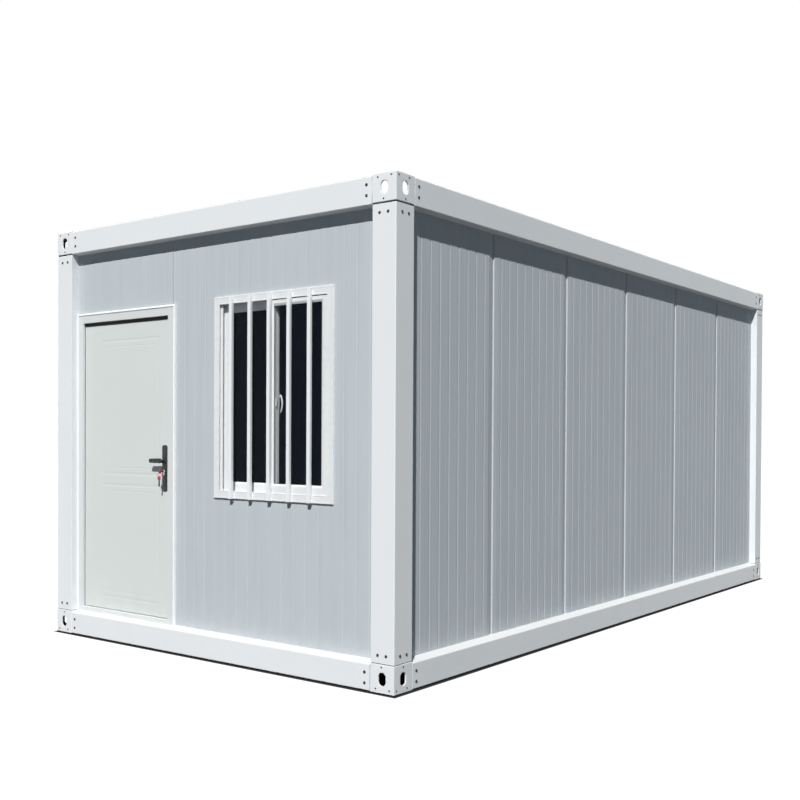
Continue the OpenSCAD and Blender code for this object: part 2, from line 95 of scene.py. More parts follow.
# Narrow neck at a post's top, and narrow seam at its foot
NECK_H, NECK_INSET, FOOT_SEAM = 0.008, 0.008, 0.0045
# How far the drawn posts stand out of their solids' faces and ends, and stay clear of the walls
POST_OUT, LEG_OUT, CORE_GAP = 0.002, 0.004, 0.001
# Dark strip as painted shade in the neck and seam: how far it lies behind the post's faces and ends, and its
# play
NECK_SHADE_BACK, NECK_SHADE_END, NECK_SHADE_GAP = 0.0035, 0.004, 0.0002
# Screws and bolts on a face of a corner: distances along it and heights
END_SCREWS = [(0.033, 2.783), (0.126, 2.781), (0.086, 2.662),
              (0.086, 0.1455), (0.126, 0.026), (0.031, 0.0255)]
SIDE_SCREWS = [(0.022, 2.783), (0.116, 2.781), (0.083, 2.662),
               (0.083, 0.1455), (0.116, 0.026), (0.022, 0.0255)]
POST_BOLTS = [(0.056, 2.590), (0.1135, 2.590), (0.056, 0.207), (0.114, 0.207)]
BEAM_BOLTS = [(0.204, 2.751), (0.204, 2.692), (0.2025, 0.0455), (0.2025, 0.105)]
# Their shapes, as heights over the face and radii
SCREW_R, BOLT_R = 0.0052, 0.0066
SCREW_HEAD = [(-0.001, SCREW_R), (0.0008, SCREW_R), (0.0022, SCREW_R * 0.7)]
WASHER = [(-0.001, BOLT_R * 1.35), (0.0012, BOLT_R * 1.35), (0.0016, BOLT_R * 1.25)]
BOLT_HEAD = [(0.001, BOLT_R), (0.0028, BOLT_R), (0.0034, BOLT_R * 0.85)]

# Folded beams: outlines between the inner ends of their flanges, as depth and height, and radii of the bends
SHEET_T = 0.004
BEAM_END_GAP = 0.002
BASE_FOLD = [(0.112, 0.168), (0.060, 0.168), (0.0, 0.150), (0.0, 0.006), (0.112, 0.006)]
BASE_BENDS = [0.0, 0.005, 0.005, 0.006, 0.0]
ROOF_FOLD = [(0.080, 2.798), (0.0, 2.798), (0.0, 2.640), (0.060, 2.636), (0.112, 2.636)]
ROOF_BENDS = [0.0, 0.011, 0.005, 0.005, 0.0]
# Plate inside a roof beam: its depth, its underside and its top
SHELF = (0.112, 2.700, 2.704)

# Ribs and joints of the wall skins
RIB_PITCH, FIRST_RIB = 0.0945, 0.086
GROOVE_W, GROOVE_D, FRONT_GROOVE_D = 0.016, 0.0020, 0.0011
INNER_GROOVE_D = 0.0015
# Side and rear joints: a panel's far edge falls away, the next one rises steeply out of the slit between them
FALL_W, FALL_D = 0.060, 0.009
SLIT_W, SLIT_D = 0.003, 0.019
RISE_W, RISE_D, LEAD_W = 0.003, 0.002, 0.035
FRONT_JOINT_W, FRONT_JOINT_D = 0.0025, 0.006
FRONT_RIB_X = 0.055
DOOR_JOINT_X = -0.347
SIDE_PANELS, REAR_PANELS = 6, 3


# Mesh helpers

WELD_DISTANCE = 1e-5
BEVEL_FROM_ANGLE = 40


def loft(bm, rings, wrap_ring=True, wrap_loft=False):
    """Skins a row of point rings. wrap_loft joins the last ring to the first, as around a picture frame."""
    made = [[bm.verts.new(p) for p in ring] for ring in rings]
    count = len(made[0])
    steps = len(made) if wrap_loft else len(made) - 1
    spans = count if wrap_ring else count - 1
    for i in range(steps):
        a, b = made[i], made[(i + 1) % len(made)]
        for j in range(spans):
            k = (j + 1) % count
            bm.faces.new((a[j], a[k], b[k], b[j]))
    if wrap_ring and not wrap_loft:
        bm.faces.new(made[0])
        bm.faces.new(made[-1])
    if wrap_loft and not wrap_ring:
        bm.faces.new([ring[0] for ring in made])
        bm.faces.new([ring[-1] for ring in made])


def circle(centre, axis_a, axis_b, radius, count):
    """Ring of points around a centre, in the plane of two unit vectors."""
    turn = 2 * math.pi / count
    return [centre + radius * (math.cos(i * turn) * axis_a + math.sin(i * turn) * axis_b)
            for i in range(count)]


def turned(bm, centre, axis, profile, count):
    """Solid of revolution: (distance along the axis, radius) pairs."""
    axis = Vector(axis).normalized()
    side = axis.orthogonal().normalized()
    other = axis.cross(side)
    loft(bm, [circle(Vector(centre) + axis * along, side, other, r, count) for along, r in profile])


def slab(bm, low, high, ease=0.0):
    """Box between two corners, its level edges eased by a chamfer."""
    x0, y0, z0 = low
    x1, y1, z1 = high

    def ring(z, inset):
        return [Vector((x0 + inset, y0 + inset, z)), Vector((x1 - inset, y0 + inset, z)),
                Vector((x1 - inset, y1 - inset, z)), Vector((x0 + inset, y1 - inset, z))]

    if ease > 0:
        loft(bm, [ring(z0, ease), ring(z0 + ease, 0), ring(z1 - ease, 0), ring(z1, ease)])
    else:
        loft(bm, [ring(z0, 0), ring(z1, 0)])


def bend(before, corner, after, radius, steps=5):
    """Round that replaces a corner of a path: its points, its centre, and 1 (left turn) or -1 (right)."""
    a = (corner - before).normalized()
    b = (after - corner).normalized()
    turn = math.atan2(a.x * b.y - a.y * b.x, a.dot(b))
    side = math.copysign(1.0, turn)
    start = corner - a * radius * math.tan(abs(turn) / 2)
    centre = start + Vector((-a.y, a.x)) * side * radius
    spoke = start - centre
    points = [centre + Matrix.Rotation(turn * k / steps, 2) @ spoke for k in range(steps + 1)]
    return points, centre, side


def rounded(corners, radii):
    """Closed outline with rounded corners."""
    corners = [Vector(c) for c in corners]
    outline = []
    for i, radius in enumerate(radii):
        outline += bend(corners[i - 1], corners[i], corners[(i + 1) % len(corners)], radius)[0]
    return outline


def folded(path, radii, thickness):
    """Closed outline of a bent sheet that lies on the left of a path."""
    path = [Vector(p) for p in path]
    first = (path[1] - path[0]).normalized()
    last = (path[-1] - path[-2]).normalized()
    outer = [path[0]]
    inner = [path[0] + Vector((-first.y, first.x)) * thickness]
    for i in range(1, len(path) - 1):
        points, centre, side = bend(path[i - 1], path[i], path[i + 1], radii[i])
        outer += points
        inner += [centre + (p - centre) * (1 - side * thickness / radii[i]) for p in points]
    outer.append(path[-1])
    inner.append(path[-1] + Vector((-last.y, last.x)) * thickness)
    return outer + inner[::-1]


def keep_flat(made, sharp=True):
    """Lets the large faces of a smooth piece keep their own normals and shade evenly."""
    normals = made.modifiers.new("normals", "WEIGHTED_NORMAL")
    normals.weight = 100
    normals.keep_sharp = sharp


def soften(made, width, segments):
    """Rounds the sharp edges of a piece with modifiers, so that they catch the light."""
    weld = made.modifiers.new("weld", "WELD")
    weld.merge_threshold = WELD_DISTANCE
    bevel = made.modifiers.new("round", "BEVEL")
    bevel.width = width
    bevel.segments = segments
    bevel.limit_method = "ANGLE"
    bevel.angle_limit = math.radians(BEVEL_FROM_ANGLE)
    keep_flat(made, sharp=False)


def build(name, bm, material):
    """Turns a bmesh into an object of the scene."""
    bmesh.ops.recalc_face_normals(bm, faces=bm.faces)
    mesh = bpy.data.meshes.new(name)
    bm.to_mesh(mesh)
    bm.free()
    mesh.materials.append(material)
    made = bpy.data.objects.new(name, mesh)
    bpy.context.scene.collection.objects.link(made)
    return made


def piece(name, bm, body, material, stands_for=(), smooth=None, even=False):
    """Object that rides on a body, with its finish and the CAD nodes it stands for."""
    made = build(name, bm, material)
    if smooth:
        made.data.shade_smooth()
        made.data.set_sharp_from_angle(angle=math.radians(smooth))
    if even:
        keep_flat(made)
    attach(made, body)
    if stands_for:
        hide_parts(*stands_for)


# Material helpers

def set_inputs(node, values):
    """Gives inputs of a shader node fixed values."""
    for key, value in values.items():
        node.inputs[key].default_value = value


class Shading:
    """A tree of shader nodes, with short ways to add and to link them."""

    def __init__(self, tree):
        self.tree = tree
        geometry = tree.nodes.new("ShaderNodeNewGeometry")
        self.place = geometry.outputs["Position"]
        self.facing = geometry.outputs["Normal"]

    def node(self, kind, **values):
        made = self.tree.nodes.new(kind)
        for key, value in values.items():
            setattr(made, key, value)
        return made

    def link(self, a, b):
        self.tree.links.new(a, b)

    def noise(self, scale, detail=3.0, stretch=(1.0, 1.0, 1.0)):
        stretched = self.node("ShaderNodeMapping")
        set_inputs(stretched, {"Scale": stretch})
        self.link(self.place, stretched.inputs["Vector"])
        made = self.node("ShaderNodeTexNoise")
        set_inputs(made, {"Scale": scale, "Detail": detail})
        self.link(stretched.outputs["Vector"], made.inputs["Vector"])
        return made.outputs["Fac"]

    def ramp(self, value, low, high, out_low=0.0, out_high=1.0):
        made = self.node("ShaderNodeMapRange")
        set_inputs(made, {"From Min": low, "From Max": high, "To Min": out_low, "To Max": out_high})
        self.link(value, made.inputs["Value"])
        return made.outputs["Result"]

    def math(self, operation, a, b=0.0):
        made = self.node("ShaderNodeMath", operation=operation)
        for socket, value in zip(made.inputs, (a, b)):
            if isinstance(value, (int, float)):
                socket.default_value = value
            else:
                self.link(value, socket)
        return made.outputs[0]

    def axis(self, name, vector=None):
        made = self.node("ShaderNodeSeparateXYZ")
        self.link(vector or self.place, made.inputs["Vector"])
        return made.outputs[name]

    def where_seen(self, lights, seen, output):
        """One shader for what lights the house, another for what is seen, mirrored or through glass too."""
        rays = self.node("ShaderNodeLightPath").outputs
        share = self.math("MAXIMUM", rays["Is Camera Ray"], rays["Is Glossy Ray"])
        share = self.math("MAXIMUM", share, rays["Is Transmission Ray"])
        choose = self.node("ShaderNodeMixShader")
        self.link(share, choose.inputs["Fac"])
        self.link(lights.outputs[0], choose.inputs[1])
        self.link(seen.outputs[0], choose.inputs[2])
        self.link(choose.outputs[0], output.inputs["Surface"])


class Finish(Shading):
    """A procedural material: a principled shader whose colour, roughness and bump vary over the surface."""

    def __init__(self, name, colour, roughness, metallic=0.0, specular=0.5):
        self.material = bpy.data.materials.new(name)
        self.material.use_nodes = True
        super().__init__(self.material.node_tree)
        self.shader = self.tree.nodes["Principled BSDF"]
        set_inputs(self.shader, {"Base Color": (*colour, 1.0), "Metallic": metallic,
                                 "Specular IOR Level": specular, "Roughness": roughness})
        self.base = colour
        self.colour = None
        self.normal = None

    def patches(self, noise, span, share, colour):
        """Tints the patches of a noise, by up to a share, between two of its values."""
        self.tint(self.ramp(self.noise(*noise), *span, 0.0, share), colour)

    def tint(self, share, colour):
        """Blends a colour over what is there, by a share that varies over the surface."""
        mix = self.node("ShaderNodeMix", data_type="RGBA")
        self.link(share, mix.inputs["Factor"])
        # Inputs 6 and 7 and output 2 are the node's sockets for colours
        below, above = mix.inputs[6], mix.inputs[7]
        if self.colour is None:
            below.default_value = (*self.base, 1.0)
        else:
            self.link(self.colour, below)
        above.default_value = (*colour, 1.0)
        self.colour = mix.outputs[2]
        self.link(self.colour, self.shader.inputs["Base Color"])

    def bump(self, value, distance, strength=1.0):
        made = self.node("ShaderNodeBump")
        set_inputs(made, {"Distance": distance, "Strength": strength})
        self.link(value, made.inputs["Height"])
        if self.normal is not None:
            self.link(self.normal, made.inputs["Normal"])
        self.normal = made.outputs["Normal"]
        self.link(self.normal, self.shader.inputs["Normal"])

    def vary_roughness(self, value, low, high):
        self.link(self.ramp(value, 0.3, 0.7, low, high), self.shader.inputs["Roughness"])


def darker(colour, share):
    return tuple(c * share for c in colour)


def painted(name, colour, roughness=0.42, dust=0.0, top_dust_and_shade=0.0, streaks=0.0, specular=0.35):
    """Factory paint on steel: orange peel, clouding, streaks, dust low down, and dust with painted shade on
    what looks up.
    """
    made = Finish(name, colour, roughness, specular=specular)
    made.patches((1.7, 4.0), (0.35, 0.75), 0.4, darker(colour, 0.93))
    if streaks > 0:
        made.patches((14.0, 3.0, (1.0, 1.0, 0.06)), (0.45, 0.75), streaks, darker(colour, 0.86))
    if dust > 0:
        low_down = made.ramp(made.axis("Z"), 0.0, 0.4, 1.0, 0.0)
        patches = made.ramp(made.noise(9.0, 5.0), 0.4, 0.7, 0.0, dust)
        made.tint(made.math("MULTIPLY", low_down, patches), GROUND_DUST)
    if top_dust_and_shade > 0:
        # Dust on what looks up, and painted shade that tones down the sunlit tops and ledges
        made.tint(made.ramp(made.axis("Z", made.facing), 0.2, 0.6, 0.0, top_dust_and_shade), LEDGE_DUST_AND_SHADE)
    made.patches((160.0, 2.0), (0.7, 0.78), 0.15, darker(colour, 0.6))
    made.vary_roughness(made.noise(6.0), roughness - 0.05, roughness + 0.08)
    made.bump(made.noise(420.0, 2.0), 0.00012, 0.6)
    return made


def rubbery(name, colour, roughness, patch):
    """Dull rubber with worn patches and a fine grain."""
    made = Finish(name, colour, roughness, specular=0.2)
    made.patches((80.0, 4.0), (0.45, 0.7), 0.6, patch)
    made.bump(made.noise(600.0, 2.0), 0.0001, 0.5)
    return made.material


FRAME_COLOUR = (0.835, 0.865, 0.895)
GROUND_DUST = (0.42, 0.37, 0.31)
# Tone of the dust and painted shade on what looks up
LEDGE_DUST_AND_SHADE = (0.60, 0.60, 0.59)
# Painted shade in the hollows of the corner blocks
HOLLOW_SHADE = (0.06, 0.062, 0.066)
# Painted shade at the foot of the corner blocks
FOOT_SHADE = (0.015, 0.015, 0.016)
WALL_COLOUR = (0.555, 0.603, 0.642)
DOOR_COLOUR = (0.69, 0.735, 0.72)
JAMB_COLOUR = (0.705, 0.735, 0.75)
LIP_COLOUR = (0.90, 0.91, 0.915)

frame_white = painted("frame_paint", FRAME_COLOUR, dust=0.04, top_dust_and_shade=0.62, specular=0.05).material

# Corner blocks: painted outside, with painted shade on the inner faces of their plates and as a line at the
# foot.
# The margins let the painted shade reach the inner faces and keep it off the plates' ends.
MASK_MARGIN, END_MARGIN = 0.0005, 0.001
block = painted("block_paint", FRAME_COLOUR, dust=0.04, top_dust_and_shade=0.62, specular=0.05)
depths = [block.math("SUBTRACT", reach, block.math("ABSOLUTE", block.axis(name)))
          for name, reach in (("X", HIGH.x), ("Y", HIGH.y))]
behind = block.math("GREATER_THAN", block.math("MINIMUM", *depths), BLOCK_WALL - MASK_MARGIN)
short = block.math("LESS_THAN", block.math("MAXIMUM", *depths), POST - END_MARGIN)
inside = block.math("MULTIPLY", behind, short)
between = None
for z0, z1 in (BASE_BLOCK_Z, ROOF_BLOCK_Z):
    away = block.math("ABSOLUTE", block.math("SUBTRACT", block.axis("Z"), (z0 + z1) / 2))
    near = block.math("LESS_THAN", away, (z1 - z0) / 2 - BLOCK_WALL + MASK_MARGIN)
    between = near if between is None else block.math("MAXIMUM", between, near)
# Painted shade on the inner faces of the plates
block.tint(block.math("MULTIPLY", inside, between), HOLLOW_SHADE)
# Painted shade line along the foot of the blocks
block.tint(block.math("LESS_THAN", block.axis("Z"), FOOT_SHADE_H), FOOT_SHADE)
block_white = block.material

bar_white = painted("bar_paint", (0.88, 0.90, 0.93), roughness=0.36).material
ceiling_white = painted("ceiling_paint", (0.80, 0.80, 0.79), roughness=0.5).material
roof_steel = painted("roof_coat", (0.50, 0.54, 0.58), roughness=0.45, streaks=0.5).material

# Faint upright waves in the rolled skins; the wave node turns by 20 radians a metre at scale 1
ROLLER_PITCH = 0.024
wall = painted("wall_coat", WALL_COLOUR, roughness=0.52, streaks=0.35, dust=0.2, specular=0.02)
roller = wall.node("ShaderNodeTexWave", wave_type="BANDS", bands_direction="X")
roller.inputs["Scale"].default_value = 1 / (ROLLER_PITCH * 20 / (2 * math.pi))
along = wall.node("ShaderNodeCombineXYZ")
wall.link(wall.math("ADD", wall.axis("X"), wall.axis("Y")), along.inputs["X"])
wall.link(along.outputs["Vector"], roller.inputs["Vector"])
wall.bump(roller.outputs["Fac"], 0.0003, 1.0)
wall_grey = wall.material

door = painted("door_paint", DOOR_COLOUR, roughness=0.38, dust=0.25)
door.bump(door.noise(38.0, 2.0, (1.0, 1.0, 0.35)), 0.0004, 0.4)
door_white = door.material
jamb_white = painted("jamb_paint", JAMB_COLOUR, roughness=0.36, dust=0.15).material
lip_white = painted("lip_paint", LIP_COLOUR, roughness=0.32).material

window = Finish("window_profile", (0.80, 0.82, 0.84), 0.28)
window.patches((3.0, 4.0), (0.4, 0.75), 0.5, (0.74, 0.765, 0.79))
window.patches((240.0, 2.0), (0.68, 0.78), 0.2, (0.5, 0.5, 0.48))
window.vary_roughness(window.noise(14.0), 0.22, 0.36)
window.bump(window.noise(300.0, 2.0), 0.00006, 0.5)
window_white = window.material

glass = Finish("window_glass", (0.022, 0.036, 0.068), 0.04, specular=0.05)
glass.patches((5.0, 5.0, (1.0, 1.0, 0.2)), (0.5, 0.8), 0.6, (0.035, 0.05, 0.085))
glass.vary_roughness(glass.noise(9.0, 4.0), 0.02, 0.07)
glass.shader.inputs["Alpha"].default_value = 0.08
glass_dark = glass.material

joist = Finish("galvanised_steel", (0.50, 0.52, 0.54), 0.45, metallic=0.6)
spangle = joist.node("ShaderNodeTexVoronoi")
spangle.inputs["Scale"].default_value = 90.0
joist.link(joist.place, spangle.inputs["Vector"])
joist.tint(joist.ramp(spangle.outputs["Distance"], 0.1, 0.7, 0.0, 0.6), (0.38, 0.40, 0.42))
joist.patches((5.0, 5.0), (0.5, 0.75), 0.5, (0.33, 0.31, 0.28))
joist.vary_roughness(joist.noise(30.0), 0.35, 0.6)
joist_steel = joist.material

deck = Finish("floor_board", (0.40, 0.34, 0.27), 0.55)
deck.patches((5.0, 6.0, (9.0, 0.6, 1.0)), (0.35, 0.65), 0.8, (0.29, 0.235, 0.18))
deck.patches((40.0, 4.0, (6.0, 0.4, 1.0)), (0.5, 0.75), 0.5, (0.22, 0.17, 0.125))
plank = deck.math("PINGPONG", deck.axis("X"), 0.075)
deck.tint(deck.ramp(plank, 0.0, 0.0015, 0.85, 0.0), (0.06, 0.05, 0.04))
deck.vary_roughness(deck.noise(20.0), 0.45, 0.65)
deck.bump(deck.noise(60.0, 4.0, (6.0, 0.4, 1.0)), 0.0004, 0.5)
deck_board = deck.material

hinge = Finish("brushed_steel", (0.58, 0.58, 0.57), 0.32, metallic=0.9)
hinge.patches((300.0, 3.0, (1.0, 1.0, 0.05)), (0.4, 0.65), 0.7, (0.44, 0.44, 0.43))
hinge.vary_roughness(hinge.noise(200.0, 2.0, (1.0, 1.0, 0.05)), 0.25, 0.45)
hinge_steel = hinge.material

bolt = Finish("dark_zinc", (0.045, 0.046, 0.048), 0.5, metallic=0.4)
bolt.patches((120.0, 4.0), (0.45, 0.7), 0.7, (0.02, 0.019, 0.018))
bolt.vary_roughness(bolt.noise(200.0), 0.32, 0.55)
dark_zinc = bolt.material

lock = Finish("lock_gunmetal", (0.036, 0.038, 0.039), 0.3, metallic=0.5)
lock.patches((45.0, 4.0, (1.0, 1.0, 0.15)), (0.4, 0.7), 0.8, (0.018, 0.019, 0.022))
lock.vary_roughness(lock.noise(160.0, 3.0, (1.0, 1.0, 0.1)), 0.22, 0.4)
lock_bronze = lock.material

black_rubber = rubbery("black_rubber", (0.02, 0.02, 0.021), 0.7, (0.045, 0.044, 0.042))
grey_rubber = rubbery("grey_seal", (0.40, 0.41, 0.42), 0.6, (0.33, 0.335, 0.34))

cap = Finish("red_plastic", (0.50, 0.040, 0.085), 0.35)
cap.patches((120.0, 3.0), (0.4, 0.7), 0.5, (0.38, 0.025, 0.06))
cap.vary_roughness(cap.noise(300.0), 0.28, 0.45)
red_plastic = cap.material


# CAD nodes that stay, by the start of their names: their finish, the radius of their edges and its steps
STAY = {"base_corner": (block_white, 0.0035, 3), "roof_corner": (block_white, 0.0035, 3),
        "floor_joists": (joist_steel, 0.002, 2), "floor_deck": (deck_board, 0.001, 2),
        "ceiling": (ceiling_white, 0.001, 2), "roof_sheet": (roof_steel, 0.002, 2),
        "door_hinges": (hinge_steel, 0.0006, 2), "door_hinge_flaps": (hinge_steel, 0.0006, 2),
        "security_bars": (bar_white, 0.002, 2)}
for start, (material, width, segments) in STAY.items():
    for name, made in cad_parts.items():
        if name.startswith(start):
            made.data.materials.clear()
            made.data.materials.append(material)
            soften(made, width, segments)


# Walls: sandwich panels with grooved steel skins

def rib_places(u0, u1, margin, phase):
    first = math.ceil((u0 + margin - phase) / RIB_PITCH)
    last = math.floor((u1 - margin - phase) / RIB_PITCH)
    return [phase + k * RIB_PITCH for k in range(first, last + 1)]


def near_edge(u0):
    """First edge of a panel at a joint: a steep rise out of the slit, then an easy lead."""
    return [(u0, SLIT_D), (u0, FALL_D), (u0 + RISE_W, RISE_D), (u0 + RISE_W + LEAD_W, 0.0)]


def far_edge(u1):
    """Last edge of a panel at a joint: it falls away to the slit."""
    return [(u1 - FALL_W, 0.0), (u1 - SLIT_W, FALL_D), (u1 - SLIT_W, SLIT_D), (u1, SLIT_D)]


def front_near_edge(u0):
    return [(u0, FRONT_JOINT_D), (u0 + FRONT_JOINT_W, FRONT_JOINT_D), (u0 + FRONT_JOINT_W, 0.0)]


def front_far_edge(u1):
    return [(u1 - FRONT_JOINT_W, 0.0), (u1 - FRONT_JOINT_W, FRONT_JOINT_D), (u1, FRONT_JOINT_D)]


def panel(bm, place, u, z, thickness, phase, first, last, groove=GROOVE_D):
    """One panel as an upright prism. first and last are the outlines of its two edges."""
    u0, u1 = u
    ribs = rib_places(first[-1][0], last[0][0], GROOVE_W / 2, phase)
    plan = list(first)
    for r in ribs:
        plan += [(r - GROOVE_W / 2, 0.0), (r, groove), (r + GROOVE_W / 2, 0.0)]
    plan += last
    plan.append((u1, thickness))
    for r in reversed(ribs):
        back = thickness - INNER_GROOVE_D
        plan += [(r + GROOVE_W / 2, thickness), (r, back), (r - GROOVE_W / 2, thickness)]
    plan.append((u0, thickness))
    loft(bm, [[place(p, d, height) for p, d in plan] for height in z])


def placer(along, out, face):
    """Function from (distance along an axis, depth behind a face, height) to a place; out is as in SIDES."""
    def place(u, depth, height):
        spot = Vector((0.0, 0.0, height))
        spot[along] = u
        spot[1 - along] = face - out * depth
        return spot

    return place


def edges(u, joints, near, far):
    """Outlines of a panel's two edges: shaped where they are joints, and plain elsewhere."""
    return (near(u[0]) if joints[0] else [(u[0], 0.0)],
            far(u[1]) if joints[1] else [(u[1], 0.0)])


def panel_row(side, count):
    """Wall of equal panels."""
    node = f"{side}_wall_panels"
    along, out = SIDES[side]
    low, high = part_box(node)
    face_low, face_high = low[1 - along], high[1 - along]
    place = placer(along, out, face_high if out > 0 else face_low)
    pitch = (high[along] - low[along]) / count
    bm = bmesh.new()
    for i in range(count):
        u = (low[along] + i * pitch, low[along] + (i + 1) * pitch)
        first, last = edges(u, (i > 0, i < count - 1), near_edge, far_edge)
        panel(bm, place, u, (low.z, high.z), face_high - face_low, u[0] + FIRST_RIB, first, last)
    piece(f"{side}_wall_ribbed", bm, "house", wall_grey, [node])


panel_row("right", SIDE_PANELS)
panel_row("left", SIDE_PANELS)
panel_row("rear", REAR_PANELS)

front_low, front_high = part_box("front_wall_panels")
sill_low, sill_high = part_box("front_wall_sill_panel")
head_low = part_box("front_wall_head_panels")[0]
trim_low, trim_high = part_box("window_frame")
hole_x0, hole_x1 = sill_low.x, sill_high.x
# Top of the window's opening, as far below its trim's top as its foot is above the trim's foot
hole_z1 = trim_high.z - (sill_high.z - trim_low.z)
door_hole_x0 = head_low.x
wall_z0, wall_z1 = front_low.z, front_high.z
# Strips of the wall: span, heights, and whether the two edges are joints
FRONT_STRIPS = [((front_low.x, door_hole_x0), (wall_z0, wall_z1), (False, False)),
                ((door_hole_x0, DOOR_JOINT_X), (head_low.z, wall_z1), (False, True)),
                ((DOOR_JOINT_X, hole_x0), (wall_z0, wall_z1), (True, False)),
                ((hole_x0, hole_x1), (hole_z1, wall_z1), (False, False)),
                ((hole_x0, hole_x1), (wall_z0, sill_high.z), (False, False)),
                ((hole_x1, front_high.x), (wall_z0, wall_z1), (False, False))]
place = placer(*SIDES["front"], front_low.y)
bm = bmesh.new()
for u, z, joints in FRONT_STRIPS:
    first, last = edges(u, joints, front_near_edge, front_far_edge)
    panel(bm, place, u, z, front_high.y - front_low.y, FRONT_RIB_X, first, last, FRONT_GROOVE_D)
piece("front_wall_ribbed", bm, "house", wall_grey,
      ["front_wall_panels", "front_wall_head_panels", "front_wall_sill_panel"])


# Steel frame: folded beams and posts

def beam(node, side, outline, shelf=None):
    """Folded beam, a little shorter than its node, so that a thin seam stays at the corner blocks."""
    low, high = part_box(node)
    along, out = SIDES[side]
    place = placer(along, out, HIGH[1 - along] if out > 0 else LOW[1 - along])
    ends = (low[along] + BEAM_END_GAP, high[along] - BEAM_END_GAP)
    bm = bmesh.new()
    loft(bm, [[place(end, d, z) for d, z in outline] for end in ends])
    if shelf:
        depth, z0, z1 = shelf
        plate = [(SHEET_T, z0), (depth, z0), (depth, z1), (SHEET_T, z1)]
        loft(bm, [[place(end, d, z) for d, z in plate] for end in ends])
    piece(f"{node}_folded", bm, "house", frame_white, [node], smooth=30, even=True)


base_outline = folded(BASE_FOLD, BASE_BENDS, SHEET_T)
roof_outline = folded(ROOF_FOLD, ROOF_BENDS, SHEET_T)
for side in SIDES:
    beam(f"base_beam_{side}", side, base_outline)
    beam(f"roof_beam_{side}", side, roof_outline, SHELF)

post_low, post_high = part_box("corner_post_front_left")
POST_FACE = post_low.x - LOW.x - POST_OUT
LEG = post_high.x - LOW.x + LEG_OUT
WALL_DEPTH = front_low.y - LOW.y
CORE = front_low.x - LOW.x - CORE_GAP


def post_plan(inset):
    """Corners of a post's section, measured inward from the outer faces of its corner, shrunk by an inset."""
    face, wall_end, leg, core = POST_FACE + inset, WALL_DEPTH - inset, LEG - inset, CORE - inset
    return [(face, face), (leg, face), (leg, wall_end), (core, wall_end), (core, core), (wall_end, core),
            (wall_end, leg), (face, leg)]


def stack(bm, corner, plan, heights):
    """Upright prism at a corner of the house, over a plan measured inward from the outer faces."""
    x, y = CORNERS[corner]
    loft(bm, [[Vector((x * (HIGH.x - u), y * (HIGH.y - v), z)) for u, v in plan] for z in heights])


POST_ROUNDS = [0.006, 0.002, 0.002, 0.002, 0.004, 0.002, 0.002, 0.002]
shaft_z = (post_low.z + FOOT_SEAM, post_high.z - NECK_H)
# Dark strip as painted shade, around the two outer sides of the neck and of the seam
neck_shade_face, neck_shade_end = POST_FACE + NECK_SHADE_BACK, LEG - NECK_SHADE_END
neck_shade_core = POST_FACE + NECK_INSET - NECK_SHADE_GAP
neck_shade_plan = [(neck_shade_face, neck_shade_face), (neck_shade_end, neck_shade_face), (neck_shade_end, neck_shade_core),
             (neck_shade_core, neck_shade_core), (neck_shade_core, neck_shade_end), (neck_shade_face, neck_shade_end)]
neck_shade = bmesh.new()
for corner in CORNERS:
    node = f"corner_post_{corner}"
    bm = bmesh.new()
    stack(bm, corner, rounded(post_plan(0.0), POST_ROUNDS), shaft_z)
    stack(bm, corner, post_plan(NECK_INSET), (shaft_z[1], post_high.z))
    stack(bm, corner, post_plan(NECK_INSET), (post_low.z, shaft_z[0]))
    piece(f"{node}_folded", bm, "house", frame_white, [node], smooth=30, even=True)
    stack(neck_shade, corner, neck_shade_plan, (shaft_z[1] + NECK_SHADE_GAP, post_high.z - NECK_SHADE_GAP))
    stack(neck_shade, corner, neck_shade_plan, (post_low.z + NECK_SHADE_GAP, shaft_z[0] - NECK_SHADE_GAP))
piece("post_neck_shade", neck_shade, "house", black_rubber)


# Bolts and screws of the steel frame

def on_corner(corner, along, bolts, depth=0.0):
    """Places on an outer face of a corner, from their distances along it and their heights."""
    out = corner[1 - along]
    place = placer(along, out, out * HIGH[1 - along])
    return [place(corner[along] * (HIGH[along] - u), depth, z) for u, z in bolts]


bm = bmesh.new()
for corner in CORNERS.values():
    for along, screws in enumerate((END_SCREWS, SIDE_SCREWS)):
        normal = (Y_AXIS, X_AXIS)[along] * corner[1 - along]
        for at in on_corner(corner, along, screws):
            turned(bm, at, normal, SCREW_HEAD, 12)
        for at in on_corner(corner, along, POST_BOLTS, POST_FACE) + on_corner(corner, along, BEAM_BOLTS):
            turned(bm, at, normal, WASHER, 18)
            turned(bm, at, normal, BOLT_HEAD, 6)
piece("frame_bolts", bm, "house", dark_zinc, smooth=30)


# Frames around openings: rings of a profile around upright rectangles, mitred at the corners

def rectangle(x0, x1, z0, z1, depth):
    y = LOW.y + depth
    return [Vector((x0, y, z0)), Vector((x0, y, z1)), Vector((x1, y, z1)), Vector((x1, y, z0))]


def inset_ring(outer, inset, depth, foot=True):
    """Ring inset from an outer rectangle (x0, x1, z0, z1); without foot the lower edge stays."""
    x0, x1, z0, z1 = outer
    return rectangle(x0 + inset, x1 - inset, z0 + (inset if foot else 0), z1 - inset, depth)


# Door frame: a round lip outside, a flat face, and a lining through the wall
LEAF_LAP, LEAF_GAP, LOCK_GAP, LINING_T, SEAL_GAP = 0.005, 0.005, 0.007, 0.009, 0.005
FOOT_DROP = 0.004
# Lip: how far it stands out, and how far in from its outer edge the flat face begins under it
LIP_OUT, JAMB_LAP = 0.003, 0.004
# Its width and its flare over the wall, at the hinge side, the lock side and the head
LIP_WIDTHS, LIP_FLARES = (0.018, 0.009, 0.010), (0.0, 0.0015, 0.006)
frame_low, frame_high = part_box("door_frame")
leaf_low, leaf_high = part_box("door_leaf")
clear = (leaf_low.x + LEAF_LAP, leaf_high.x - LEAF_LAP)
